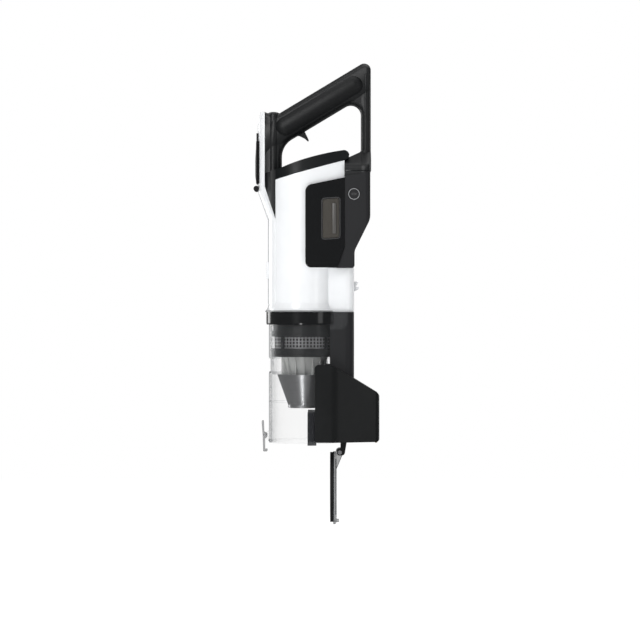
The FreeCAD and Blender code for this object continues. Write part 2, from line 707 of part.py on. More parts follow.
def window_prism(inset):
    # Leaning rounded window, or the button in it.
    half_width = release_width / 2 - inset
    half_height = release_height / 2 - inset
    lean = 1.5
    points = [
        (window_x - half_width, window_z - half_height, 3 - inset),
        (window_x + half_width, window_z - half_height + lean, 3 - inset),
        (window_x + half_width, window_z + half_height, 3 - inset),
        (window_x - half_width, window_z + half_height - lean, 3 - inset)]
    return prism_y(points, 12, body_radius + 10)


cheek = prism_y(cheek_points, 12,
    body_radius + 10).common(housing_layer(play, cheek_stand)).cut(window_prism(0))
release = window_prism(play).common(housing_layer(play + release_travel + 0.1, cheek_stand - 0.7))
grip_rib = box(window_x + 2.5, window_x + 5.5, 20, 60, window_z - 18, window_z + 18)
release = release.fuse(grip_rib.common(housing_layer(play + release_travel + 0.1, cheek_stand)))
add("right_cheek", cheek)
add("right_release_button", release)
for name in ("cheek", "release_button"):
    add("left_" + name, pieces["right_" + name].mirror(FreeCAD.Vector(0, 0, 0), FreeCAD.Vector(0, 1, 0)))

# Motor, fan and board inside the housing
room_radius = recess_radius - wall
fan_z = body_z + 8
shroud_z = fan_z + impeller_height + 5
mount_ring_low = tube_z(body_x, fan_z - 3, fan_z + 4, room_radius, impeller_radius + 3)
fan_shroud = ring_profile(body_x, [
    (13, fan_z), (impeller_radius + 3, fan_z), (impeller_radius + 3, shroud_z + 2), (motor_radius - 6,
        shroud_z + 2),
    (motor_radius - 6, shroud_z), (impeller_radius + 1.4, shroud_z), (impeller_radius + 1.4,
        fan_z + 1.6), (13, fan_z + 1.6)])
add("fan_shroud", fan_shroud)
blade_height = impeller_height - 4
impeller = ring_profile(body_x, [
    (shaft_radius, fan_z + 3), (6, fan_z + 3), (7, fan_z + 3 + blade_height), (impeller_radius,
        fan_z + 3 + blade_height),
    (impeller_radius, fan_z + 4.6 + blade_height), (shaft_radius, fan_z + 4.6 + blade_height)])
blade = box(body_x + 5.5, body_x + impeller_radius - 1, -0.7, 0.7, fan_z + 3.5, fan_z + 3.5 + blade_height)
blades = []
for i in range(9):
    turned = blade.copy()
    turned.rotate(FreeCAD.Vector(body_x, 0, 0), FreeCAD.Vector(0, 0, 1), i * 40)
    blades.append(turned)
add("impeller", impeller.fuse(blades))
plate_low_z = shroud_z + 2
stator_z = plate_low_z + 4
plate_high_z = stator_z + motor_height
bearing_radius = 6.5
plates = []
bearings = []
for z in (plate_low_z, plate_high_z):
    plates.append(tube_z(body_x, z, z + 4, motor_radius, bearing_radius))
    bearings.append(tube_z(body_x, z, z + 4, bearing_radius, shaft_radius + pin_play))
add("motor_end_plates", Part.makeCompound(plates))
add("motor_bearings", Part.makeCompound(bearings))
stator = tube_z(body_x, stator_z, plate_high_z, motor_radius, motor_radius - 10)
slots = []
for i in range(6):
    slot = rod_z(body_x + motor_radius - 7, 0, stator_z - 1, plate_high_z + 1, 2)
    slot.rotate(FreeCAD.Vector(body_x, 0, 0), FreeCAD.Vector(0, 0, 1), i * 60)
    slots.append(slot)
add("motor_stator", stator.cut(slots))
add("motor_rotor", tube_z(body_x, stator_z + 1, plate_high_z - 1, motor_radius - 11, shaft_radius))
add("motor_shaft", rod_z(body_x, 0, fan_z + 1, plate_high_z + 7, shaft_radius))
mount_z = stator_z + motor_height / 2 - 4
arms = [box(body_x - room_radius, body_x + room_radius, -5, 5, mount_z, mount_z + 8),
        box(body_x - 5, body_x + 5, -room_radius, room_radius, mount_z, mount_z + 8)]
mount_ring = rod_z(body_x, 0, mount_z, mount_z + 8, motor_radius + 2.5).fuse(arms)
mount_ring = mount_ring.cut(rod_z(body_x, 0, mount_z - 1, mount_z + 9, motor_radius))
mount_ring = mount_ring.common(rod_z(body_x, 0, mount_z, mount_z + 8, room_radius))
mount_ring.rotate(FreeCAD.Vector(body_x, 0, 0), FreeCAD.Vector(0, 0, 1), 45)

control_x = body_x - 30
control_z = plate_high_z + 14
board_height = battery_z + deck_front_height - control_z - 8.8
control_board = box(control_x, control_x + 1.6, -16, 16, control_z, control_z + board_height)
parts_on_board = [box(control_x + 1.6, control_x + 8, -12, -2, control_z + 6, control_z + 22),
                  box(control_x + 1.6, control_x + 4, 2, 12, control_z + 8, control_z + 18),
                  rod_x(6, control_z + board_height - 16, control_x + 1.6, control_x + 13, 5)]
post_heights = (control_z + 5, control_z + board_height - 5)
board_posts = [rod_x(y, z, control_x - 9, control_x, 2) for y in (-13, 13) for z in post_heights]
board_posts = [post.common(rod_z(body_x, 0, control_z, control_z + board_height,
    room_radius)) for post in board_posts]
add("control_board", control_board.fuse(parts_on_board).fuse(board_posts))

# Cup release bar behind the button, hooked under the collar
bar_x = body_x - recess_radius + 3.0
bar = box(bar_x, bar_x + 1.8, -4, 4, skirt_z + 1.5, release_z + 6)
tooth = box(bar_x - 2.0, bar_x + 1.8, -4, 4, parting_z - 6.2, skirt_z + 1.5)
bar_window = box(bar_x - 6, bar_x + 1.8 + release_stroke + play, -4.4, 4.4, parting_z - 7, release_z + 7)
add("cup_catch", bar.fuse(tooth))
add("motor_mounts", Part.makeCompound([mount_ring_low.cut(bar_window), mount_ring]))
for name in ("housing_left", "housing_right", "housing_skirt", "fan_shroud"):
    pieces[name] = pieces[name].cut(bar_window).cut(release_window)

# Dust cup: collar, clear cup and its waist band
waist_low_z = cup_z + 82.8
waist_high_z = waist_low_z + 17.0
cup_top_z = collar_z + cup_lid_depth
outer_points = [
    (cup_radius, cup_z), (cup_radius, waist_low_z), (cup_radius - cup_waist_depth, waist_low_z + 0.6),
    (cup_radius - cup_waist_depth, waist_high_z), (cup_radius, waist_high_z + 2), (cup_radius, cup_top_z)]
inner_points = [
    (cup_radius - cup_wall, cup_top_z), (cup_radius - cup_wall, waist_high_z + 2.6),
    (cup_radius - cup_wall - cup_waist_depth, waist_high_z + 0.6), (cup_radius - cup_wall - cup_waist_depth,
        waist_low_z - 0.6),
    (cup_radius - cup_wall, waist_low_z - 1.4), (cup_radius - cup_wall, cup_z)]
cup = ring_profile(cup_x, outer_points + inner_points)
collar_radius = cup_radius + collar_overhang
collar = ring_profile(cup_x, [
    (cup_radius, collar_z), (collar_radius - 0.6, collar_z), (collar_radius,
        collar_z + 1.5), (collar_radius, parting_z),
    (cup_radius - cup_wall - 3, parting_z), (cup_radius - cup_wall - 3, cup_top_z), (cup_radius,
        cup_top_z)])
collar_pocket = box(bar_x - 2.0 - play, bar_x + 1.8 + release_stroke + play, -4.4, 4.4, parting_z - 7,
    parting_z + 1)
lug_rear_x = cup_x + 51.6
lugs = []
for side in (-1, 1):
    low = spine_half_width + 0.3
    y0, y1 = sorted((side * low, side * (low + 3)))
    lug_points = [
        (cup_x + 24, collar_z - 6, 0), (lug_rear_x - 7, collar_z - 6, 3), (lug_rear_x, collar_z, 3),
        (lug_rear_x, parting_z, 0), (cup_x + 24, parting_z, 0)]
    lugs.append(prism_y(lug_points, y0, y1))
cup_outer = rod_z(cup_x, 0, cup_z, cup_top_z, cup_radius - 1)
collar_whole = rod_z(cup_x, 0, collar_z, parting_z, collar_radius)
lugs = [lug.cut(cup_outer).cut(collar_whole) for lug in lugs]
latch_x = cup_x - cup_radius - 4.1
latch_z = cup_z + 8.4
ears = []
for y0, y1 in ((-latch_width / 2 - 2.3, -latch_width / 2 - play),
    (latch_width / 2 + play, latch_width / 2 + 2.3)):
    ears.append(prism_y([
        (latch_x + 6, latch_z - 6, 0), (latch_x + 6, latch_z + 6, 0), (latch_x - 2.6, latch_z + 2.6, 2.5),
        (latch_x - 2.6, latch_z - 2.6, 2.5)], y0, y1))
ears = [ear.cut(cup_outer) for ear in ears]
latch_pin_radius = 1.2
latch_pin = rod_y(latch_x, latch_z, -latch_width / 2 - 2.3, latch_width / 2 + 2.3, latch_pin_radius)
add("latch_pin", latch_pin)
duct_low_z = wand_depth + 8
duct_high_z = duct_low_z + 18
duct_front_x = cup_x + cup_radius - 7
duct_rear_x = cup_x + cup_radius + 18
duct_half = inlet_duct_width / 2
duct_outer = box(duct_front_x, duct_rear_x, -duct_half, duct_half, duct_low_z, duct_high_z)
duct_room = box(duct_front_x - 1, duct_rear_x + 1, -duct_half + 1.6, duct_half - 1.6, duct_low_z + 1.6,
    duct_high_z - 1.6)
add("inlet_duct", duct_outer.cut(duct_room))
add("clear_cup", cup.fuse(lugs).fuse(ears).cut(latch_pin).cut(duct_outer))
add("cup_collar", collar.cut(collar_pocket))
seal = tube_z(cup_x, parting_z - 1.2, parting_z + 0.1, cup_radius - 2.6, cup_radius - 4.2)
add("cup_seal", seal.cut(collar_pocket))
pieces["cup_collar"] = pieces["cup_collar"].cut(seal)

# Cyclone: shroud, funnel, cone and the filter on top
frame_low_z = collar_z - 38.6
frame_ring_low = tube_z(cup_x, frame_low_z, frame_low_z + 10, shroud_radius, drum_radius)
frame_ring_high = tube_z(cup_x, collar_z - 14.6, cup_top_z, shroud_radius - 1.8, drum_radius)
frame_lip = tube_z(cup_x, collar_z - 14.6, collar_z - 8, shroud_radius, drum_radius)
bars = []
for i in range(4):
    bar_piece = box(cup_x + drum_radius, cup_x + drum_radius + 1.6, -2, 2, frame_low_z + 5, collar_z - 10)
    bar_piece.rotate(FreeCAD.Vector(cup_x, 0, 0), FreeCAD.Vector(0, 0, 1), 45 + 90 * i)
    bars.append(bar_piece.cut(rod_z(cup_x, 0, frame_low_z, collar_z, drum_radius)))
add("shroud_frame", frame_ring_low.fuse([frame_ring_high, frame_lip] + bars))
drum_floor = tube_z(cup_x, frame_low_z, frame_low_z + 1.5, drum_radius, funnel_top_radius - 1.6)
add("shroud_drum", tube_z(cup_x, frame_low_z, cup_top_z, drum_radius, drum_radius - 1.2).fuse(drum_floor))
funnel_low_z = frame_low_z - 21.4
funnel = ring_profile(cup_x, [
    (funnel_top_radius - 1.6, frame_low_z), (funnel_top_radius, frame_low_z), (funnel_bottom_radius,
        funnel_low_z),
    (funnel_bottom_radius - 1.6, funnel_low_z)])
fins = []
for i in range(16):
    fin = box(cup_x + funnel_bottom_radius - 0.8, cup_x + funnel_top_radius, -0.6, 0.6, funnel_low_z,
        frame_low_z)
    fin.rotate(FreeCAD.Vector(cup_x, 0, 0), FreeCAD.Vector(0, 0, 1), i * 360 / 16)
    fins.append(fin)
funnel_core = ring_profile(cup_x, [(0, frame_low_z), (funnel_top_radius - 0.4, frame_low_z),
                                   (funnel_bottom_radius - 0.4, funnel_low_z), (0, funnel_low_z)])
add("cyclone_funnel", funnel.fuse([fin.cut(funnel_core) for fin in fins]))
cone_low_z = funnel_low_z - 39.8
cone = ring_profile(cup_x, [
    (funnel_bottom_radius - 3, funnel_low_z), (cone_top_radius, funnel_low_z), (cone_bottom_radius,
        cone_low_z + 3.6),
    (cone_bottom_radius, cone_low_z), (cone_bottom_radius - 1.4, cone_low_z), (cone_bottom_radius - 1.4,
        cone_low_z + 3.8),
    (cone_top_radius - 1.8, funnel_low_z - 1.4), (funnel_bottom_radius - 3, funnel_low_z - 1.4)])
add("cyclone_cone", cone)
vortex_tube = tube_z(cup_x, funnel_low_z - 14, collar_z - 8, 13, 11.6)
add("vortex_finder", vortex_tube.fuse(tube_z(cup_x, collar_z - 8, collar_z - 6, drum_radius - 1.2, 11.6)))
filter_low_z = collar_z + 1
filter_radius = drum_radius - 3.2
tray = tube_z(cup_x, collar_z - 6, parting_z, drum_radius - 1.2, filter_radius)
tray_floor = tube_z(cup_x, filter_low_z - 2, filter_low_z, filter_radius, filter_radius - 6)
add("filter_tray", tray.fuse(tray_floor))
add("pre_motor_filter", rod_z(cup_x, 0, filter_low_z, filter_low_z + filter_thickness, filter_radius))

# Inlet housing: arms round the cup, wand socket, and the ears of the door's hinge
arm_front_x = cup_x + 12.6
arm_half = cup_radius + 3.3
slope_start_x = cup_x + 31.8
inlet_points = [
    (arm_front_x, 0, 3), (inlet_rear, 0, 4), (inlet_rear, inlet_slope_height, 6), (slope_start_x,
        inlet_height, 12),
    (arm_front_x, inlet_height, 4)]


def inlet_plan(inset):
    half = arm_half - inset
    rear_half = inlet_half_width - inset
    return prism_z([
        (arm_front_x - 2, -half, 0), (cup_x + 36, -half, 26), (inlet_rear - inset, -rear_half, 9 - inset),
        (inlet_rear - inset, rear_half, 9 - inset), (cup_x + 36, half, 26), (arm_front_x - 2, half,
            0)], -1, inlet_height + 1)


cup_gap = 0.1
inlet_outer = prism_y(inlet_points, -60, 60).common(inlet_plan(0))
inlet_face = Part.Face(rounded_wire(inlet_points,
    lambda p: FreeCAD.Vector(p.x, 0, p.y))).makeOffset2D(-wall)
inlet_face.translate(FreeCAD.Vector(0, -60, 0))
inlet_inner = inlet_face.extrude(FreeCAD.Vector(0, 120, 0)).common(inlet_plan(wall))
inlet_inner = inlet_inner.cut(rod_z(cup_x, 0, -1, inlet_height + 1, cup_radius + cup_gap + wall))
socket_wall = 3.0
boss = rod_z(0, 0, 0, wand_depth + wall, wand_bore / 2 + socket_wall)
inlet_inner = inlet_inner.cut(boss)
bore = rod_z(0, 0, -1, wand_depth, wand_bore / 2)
port = rod_z(0, 0, wand_depth - 1, wand_depth + wall + 1, wand_bore / 2 - 4)
duct_port = box(duct_front_x, duct_rear_x, -duct_half, duct_half, duct_low_z, duct_high_z)
contact_half_width = 2.0
contact_spots = (-14, 14)
wand_contacts = []
for y in contact_spots:
    wand_contacts.append(box(inlet_rear - 5.2, inlet_rear - 2.6, y - contact_half_width,
        y + contact_half_width, -1.2, 9))
gasket_top_z = cup_z - play
plate_top_z = gasket_top_z - gasket_height
plate_low_z = plate_top_z - door_thickness
pin_x = cup_x + cup_radius - 0.5
pin_z = plate_low_z - 0.2 - ear_radius
pin_half = 19.0
ear_inner = 13.7
knuckle_radius = 4.6
hinge_pin = rod_y(pin_x, pin_z, -pin_half, pin_half, pin_radius)
neck_x = cup_x + cup_radius + 0.6
ear_points = [
    (neck_x, 1, 0), (neck_x, pin_z + ear_radius, 0.4), (pin_x - ear_radius, pin_z + ear_radius, 2.5),
    (pin_x - ear_radius, pin_z - ear_radius, 3), (pin_x + ear_radius + 2, pin_z - ear_radius,
        4), (pin_x + 8.5, 1, 0)]
hinge_ears = [prism_y(ear_points, -pin_half, -ear_inner), prism_y(ear_points, ear_inner, pin_half)]
inlet = inlet_outer.cut(rod_z(cup_x, 0, -2, inlet_height + 2, cup_radius + cup_gap)).cut(inlet_inner)
inlet = inlet.fuse(hinge_ears).cut(rod_z(cup_x, 0, cup_z, inlet_height + 2, cup_radius + cup_gap))
inlet = inlet.cut([bore, port, duct_port, hinge_pin] + wand_contacts)
seal_groove = tube_z(0, wand_depth - 8, wand_depth - 5, wand_bore / 2 + 1.2, wand_bore / 2 - 1)
add("inlet_housing", inlet.cut(seal_groove))
add("wand_seal", tube_z(0, wand_depth - 8, wand_depth - 5, wand_bore / 2 + 1.2, wand_bore / 2))
add("wand_contacts", Part.makeCompound(wand_contacts))
add("hinge_pin", hinge_pin)

# Lower spine, from the inlet housing up to the parting line, with the dock's contact strip
spine = prism_z([
    (cup_x + 14, -spine_half_width, 0), (spine_rear_x, -spine_half_width, 11), (spine_rear_x,
        spine_half_width, 11),
    (cup_x + 14, spine_half_width, 0)], 0, parting_z)
spine_room = prism_z([
    (cup_x + 46, -spine_half_width + wall + 2, 0), (spine_rear_x - wall, -spine_half_width + wall + 2, 7),
    (spine_rear_x - wall, spine_half_width - wall - 2, 7), (cup_x + 46, spine_half_width - wall - 2, 0)],
    0, parting_z - wall)
spine = spine.cut(spine_room)
below_slope = prism_y([(arm_front_x - 5, -5, 0), (inlet_rear + 5, -5, 0),
    (inlet_rear + 5, inlet_slope_height - 3, 0),
                       (slope_start_x, inlet_height, 0), (arm_front_x - 5, inlet_height, 0)], -60, 60)
strip_rear = 0.2
strip = rounded_block(0, 42, -9, 9, 0, 2.4 + strip_rear, 4)
strip.rotate(FreeCAD.Vector(0, 0, 0), FreeCAD.Vector(0, 1, 0), -90)
strip.translate(FreeCAD.Vector(spine_rear_x + strip_rear, 0, parting_z - 54))
spine = spine.cut(below_slope).cut(rod_z(cup_x, 0, -1, parting_z + 1,
    cup_radius + cup_gap)).cut(collar_whole)
spine = [solid for solid in spine.cut(strip).cut(prism_y(inlet_points, -60,
    60)).Solids if solid.BoundBox.ZMax > parting_z - 1][0]
add("lower_spine", spine)
add("dock_contact_strip", strip)

# Door, drawn closed under the cup and then swung open about its pin
door = rod_z(cup_x, 0, plate_low_z, plate_top_z, cup_radius)
door_groove = tube_z(cup_x, plate_top_z - 1.2, plate_top_z + 1, cup_radius - 0.8,
    cup_radius - 0.8 - gasket_width)
dish = rod_z(cup_x, 0, plate_low_z - 1, plate_low_z + 1.6, cup_radius - 9)
arm = prism_y([(pin_x - 20, plate_low_z, 0), (pin_x, pin_z - knuckle_radius, 0),
    (pin_x, plate_low_z + 0.5, 0)],
              -ear_inner + play, ear_inner - play)
knuckle = rod_y(pin_x, pin_z, -ear_inner + play, ear_inner - play, knuckle_radius)
lip_front_x = latch_x + 2.6
lip = box(lip_front_x, cup_x - cup_radius + 4, -latch_width / 2 + 1, latch_width / 2 - 1, plate_low_z + 1,
    plate_top_z)
grip_tab = box(cup_x - cup_radius + 1, cup_x - cup_radius + 4, -5, 5, plate_low_z - 3, plate_low_z + 1)
door = door.cut(dish).fuse([arm, knuckle, lip, grip_tab]).cut(door_groove)
door = door.cut(rod_y(pin_x, pin_z, -pin_half, pin_half, pin_radius + pin_play))
gasket = tube_z(cup_x, plate_top_z - 1.2, gasket_top_z, cup_radius - 0.8, cup_radius - 0.8 - gasket_width)


def swung_open(shape):
    turned = shape.copy()
    turned.rotate(FreeCAD.Vector(pin_x, 0, pin_z), FreeCAD.Vector(0, 1, 0), -90)
    return turned


add("cup_door", swung_open(door))
add("door_gasket", swung_open(gasket))

# Door latch: a rocker on the front of the cup
latch_top_z = latch_z + 18
hook_low_z = plate_low_z - 3
latch_points = [
    (latch_x - 4.4, latch_top_z - 1, 1), (latch_x - 2.2, latch_top_z, 1), (latch_x - 1.6, latch_z + 4, 0),
    (latch_x + 2.2, latch_z + 2.2, 1.5), (latch_x + 2.2, latch_z - 2.2, 1.5), (latch_x - 0.6, latch_z - 4,
        0),
    (latch_x - 0.6, plate_low_z - 0.4, 0), (lip_front_x - play, plate_low_z - 0.4, 0), (lip_front_x - play,
        hook_low_z, 1),
    (latch_x - 2.6, hook_low_z, 1), (latch_x - 3.2, latch_z, 4)]
latch = prism_y(latch_points, -latch_width / 2, latch_width / 2)
add("door_latch", latch.cut(rod_y(latch_x, latch_z, -20, 20, latch_pin_radius + pin_play)))

# Screws that hold the handle's halves together
screws = []
for x, z in post_spots:
    shank = rod_y(x, z, -grip_half_width + 4, grip_half_width - 1.6, 1.4)
    head = rod_y(x, z, grip_half_width - 3.2, grip_half_width - 1.2, 2.6)
    drive = rod_y(x, z, grip_half_width - 2.4, grip_half_width, 0.9)
    screws.append(shank.fuse(head).cut(drive))
screw_holes = [rod_y(x, z, grip_half_width - 3.2, grip_half_width + 1, 2.6) for x, z in post_spots]
for name in ("handle_left_shell", "handle_right_shell"):
    pieces[name] = pieces[name].cut(screws).cut(screw_holes)
add("handle_screws", Part.makeCompound(screws))

os.makedirs("parts", exist_ok=True)
for name, shape in pieces.items():
    solids = shape.Solids
    finished = solids[0] if len(solids) == 1 else Part.makeCompound(solids)
    finished.exportStep("parts/" + name + ".step")
    print(name, len(solids), round(finished.Volume))
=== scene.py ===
import math

import bpy
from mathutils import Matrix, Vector


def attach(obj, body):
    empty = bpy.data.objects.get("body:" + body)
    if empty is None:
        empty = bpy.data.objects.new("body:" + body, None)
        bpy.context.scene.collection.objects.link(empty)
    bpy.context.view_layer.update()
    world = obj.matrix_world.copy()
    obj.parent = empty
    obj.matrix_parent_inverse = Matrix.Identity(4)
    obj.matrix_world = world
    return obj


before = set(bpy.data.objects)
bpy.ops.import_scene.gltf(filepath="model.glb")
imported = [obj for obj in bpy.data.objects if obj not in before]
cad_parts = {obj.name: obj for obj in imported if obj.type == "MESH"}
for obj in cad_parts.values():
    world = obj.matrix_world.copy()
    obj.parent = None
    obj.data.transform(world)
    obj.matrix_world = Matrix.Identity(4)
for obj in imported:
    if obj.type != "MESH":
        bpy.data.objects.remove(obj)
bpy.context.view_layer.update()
print("frame loaded", len(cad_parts), "nodes")

# where the upright axes of the cup and of the motor housing stand
cupAxisX, housingAxisX = -0.069, -0.0715


class Maths:
    # wraps a socket, so that sums on it add Math nodes
    def __init__(self, paint, socket):
        self.paint, self.socket = paint, socket

    def sum(self, operation, first, second=None):
        inputs = {0: first} if second is None else {0: first, 1: second}
        return self.paint.node("ShaderNodeMath", {"operation": operation}, inputs)

    def __add__(self, other): return self.sum("ADD", self, other)
    def __radd__(self, other): return self.sum("ADD", other, self)
    def __sub__(self, other): return self.sum("SUBTRACT", self, other)
    def __rsub__(self, other): return self.sum("SUBTRACT", other, self)
    def __mul__(self, other): return self.sum("MULTIPLY", self, other)
    def __truediv__(self, other): return self.sum("DIVIDE", self, other)
    def __pow__(self, other): return self.sum("POWER", self, other)
    def __lt__(self, other): return self.sum("LESS_THAN", self, other)
    def __gt__(self, other): return self.sum("GREATER_THAN", self, other)
    def abs(self): return self.sum("ABSOLUTE", self)
    def least(self, other): return self.sum("MINIMUM", self, other)
    def most(self, other): return self.sum("MAXIMUM", self, other)
    def fraction(self): return self.sum("FRACT", self)


class Paint:
    # one material under construction
    def __init__(self, name):
        self.material = bpy.data.materials.new(name)
        self.material.use_nodes = True
        self.nodes = self.material.node_tree.nodes
        self.links = self.material.node_tree.links
        self.shader = self.nodes["Principled BSDF"]

    def node(self, kind, settings=None, inputs=None, out=0):
        made = self.nodes.new(kind)
        for key, setting in (settings or {}).items():
            if key == "stops":
                ramp = made.color_ramp.elements
                while len(ramp) < len(setting):
                    ramp.new(0.5)
                for stop, (place, shade) in zip(ramp, setting):
                    stop.position = place
                    stop.color = (shade, shade, shade, 1) if isinstance(shade, float) else (*shade, 1)
            else:
                setattr(made, key, setting)
        for key, value in (inputs or {}).items():
            self.plug(made.inputs[key], value)
        return Maths(self, made.outputs[out])

    def plug(self, socket, value):
        if isinstance(value, Maths):
            self.links.new(value.socket, socket)
        else:
            socket.default_value = value

    def place(self, axis=None):
        spot = self.node("ShaderNodeTexCoord", out="Object")
        if axis is None:
            return spot
        return self.node("ShaderNodeSeparateXYZ", inputs={0: spot}, out=axis)

    def noise(self, scale, detail=3.0, roughness=0.55, stretch=None):
        spot = self.place()
        if stretch:
            spot = self.node("ShaderNodeMapping", inputs={"Vector": spot, "Scale": stretch})
        return self.node("ShaderNodeTexNoise", {}, {"Vector": spot, "Scale": scale, "Detail": detail,
            "Roughness": roughness})

    def blend(self, share, first, second):
        return self.node("ShaderNodeMix", {"data_type": "RGBA"}, {0: share, 6: first, 7: second}, out=2)

    def bump(self, height, strength, distance, below=None):
        inputs = {"Height": height, "Strength": strength, "Distance": distance}
        if below is not None:
            inputs["Normal"] = below
        return self.node("ShaderNodeBump", {}, inputs)

    def set(self, **values):
        for key, value in values.items():
            name = "".join(" " + c if c.isupper() else c for c in key).strip()
            name = {"I O R": "IOR", "Shine": "Specular IOR Level"}.get(name, name)
            self.plug(self.shader.inputs[name], value)


# finishes: colour, roughness, and what the surface does close up
finishes = {
    "handlePlastic": {"colour": (0.0042, 0.0054, 0.0060), "rough": 0.42, "grain": 1500, "relief": 0.05,
        "shine": 0.3},
    "softGrip": {"colour": (0.0062, 0.0068, 0.0074), "rough": 0.5, "grain": 1100, "relief": 0.22,
        "shine": 0.3},
    "whiteGloss": {"colour": (0.80, 0.815, 0.83), "rough": 0.2, "grain": 240, "relief": 0.02, "coat": 0.35},
    "charcoal": {"colour": (0.0125, 0.013, 0.0145), "rough": 0.5, "grain": 1300, "relief": 0.09,
        "shine": 0.3},
    "blackGloss": {"colour": (0.0045, 0.005, 0.0056), "rough": 0.16, "grain": 300, "relief": 0.015,
        "coat": 0.5, "shine": 0.3},
    "blackSatin": {"colour": (0.0042, 0.0048, 0.0052), "rough": 0.36, "grain": 1200, "relief": 0.06,
        "shine": 0.3},
    "displayBlack": {"colour": (0.002, 0.002, 0.0024), "rough": 0.07, "grain": 200, "relief": 0.0,
        "coat": 0.6},
    "innerGrey": {"colour": (0.05, 0.05, 0.052), "rough": 0.45, "grain": 900, "relief": 0.06},
    "windowGrey": {"colour": (0.055, 0.05, 0.043), "rough": 0.34, "grain": 900, "relief": 0.05},
    "stripGrey": {"colour": (0.42, 0.43, 0.44), "rough": 0.35, "grain": 700, "relief": 0.04},
    "rimGrey": {"colour": (0.05, 0.05, 0.051), "rough": 0.3, "grain": 700, "relief": 0.02},
    # paler colour of the painted highlight strip on each release button
    "releaseHighlightPaint": {"colour": (0.075, 0.072, 0.068), "rough": 0.35, "grain": 700, "relief": 0.02},
    "gaugeMark": {"colour": (0.12, 0.12, 0.125), "rough": 0.4, "grain": 700, "relief": 0.02},
    "sealRubber": {"colour": (0.005, 0.005, 0.0055), "rough": 0.7, "grain": 1000, "relief": 0.12,
        "shine": 0.3},
    "filterPaper": {"colour": (0.72, 0.72, 0.69), "rough": 0.9, "grain": 1600, "relief": 0.35},
    "cellWrap": {"colour": (0.03, 0.16, 0.32), "rough": 0.25, "grain": 300, "relief": 0.02},
    "board": {"colour": (0.012, 0.07, 0.035), "rough": 0.35, "grain": 900, "relief": 0.03},
    "copperStack": {"colour": (0.42, 0.2, 0.1), "rough": 0.35, "grain": 700, "relief": 0.1, "metal": 1.0},
    "gold": {"colour": (0.8, 0.58, 0.24), "rough": 0.22, "grain": 500, "relief": 0.02, "metal": 1.0},
    "steel": {"colour": (0.5, 0.5, 0.52), "rough": 0.28, "grain": 700, "relief": 0.04, "metal": 1.0},
    "aluminium": {"colour": (0.62, 0.63, 0.65), "rough": 0.34, "grain": 700, "relief": 0.05, "metal": 1.0},
}

# scale, detail and roughness of the mottle and of the uneven gloss
mottle = {"patches": (26, 4), "wear": (90, 5, 0.65)}


def plainFinish(name, look):
    # colour with a slight mottle, uneven gloss and a fine moulded grain
    paint = Paint(name)
    patches = paint.noise(*mottle["patches"])
    grain = paint.noise(look["grain"], 2)
    wear = paint.noise(*mottle["wear"])
    colour = look["colour"]
    lighter = (*[min(1, c * 1.06 + 0.0004) for c in colour], 1)
    darker = (*[c * 0.94 for c in colour], 1)
    paint.set(BaseColor=paint.blend(patches, darker, lighter))
    paint.set(Roughness=look["rough"] + (wear - 0.5) * 0.12 + (patches - 0.5) * 0.05)
    paint.set(Metallic=look.get("metal", 0.0), CoatWeight=look.get("coat", 0.0), CoatRoughness=0.06)
    paint.set(Shine=look.get("shine", 0.5))
    if look["relief"]:
        paint.set(Normal=paint.bump(grain, look["relief"], 0.0002))
    return paint.material


materials = {name: plainFinish(name, look) for name, look in finishes.items()}
print("plain finishes", len(materials))


def clearFinish(name, colour, rough, look):
    # moulded clear plastic: nearly nothing face on, grey where the wall is seen edge on
    paint = Paint(name)
    film = paint.noise(18, 5, 0.6)
    scuffs = paint.noise(260, 3, 0.6, (1, 1, 0.12))
    edge = paint.node("ShaderNodeLayerWeight", {}, {"Blend": 0.5}, "Facing")
    paint.set(BaseColor=(*colour, 1), IOR=1.5)
    paint.set(Roughness=rough + (film - 0.5) * 0.03)
    wall = look["haze"] + edge ** look["power"] * look["edge"]
    paint.set(Alpha=wall + (film - 0.5) * 0.03 + (scuffs - 0.5) * 0.02)
    paint.set(Normal=paint.bump(film, 0.04, 0.0006))
    return paint.material


materials["clearCup"] = clearFinish("clearCup", (0.3, 0.31, 0.32), 0.05,
    {"haze": 0.03, "edge": 0.8, "power": 3.2})
materials["clearDoor"] = clearFinish("clearDoor", (0.09, 0.095, 0.1), 0.1,
    {"haze": 0.42, "edge": 0.5, "power": 2.0})
materials["smoked"] = clearFinish("smoked", (0.02, 0.021, 0.024), 0.12,
    {"haze": 0.78, "edge": 0.22, "power": 1.5})
materials["paleFunnel"] = clearFinish("paleFunnel", (0.5, 0.51, 0.5), 0.3,
    {"haze": 0.55, "edge": 0.45, "power": 1.5})
print("clear finishes")

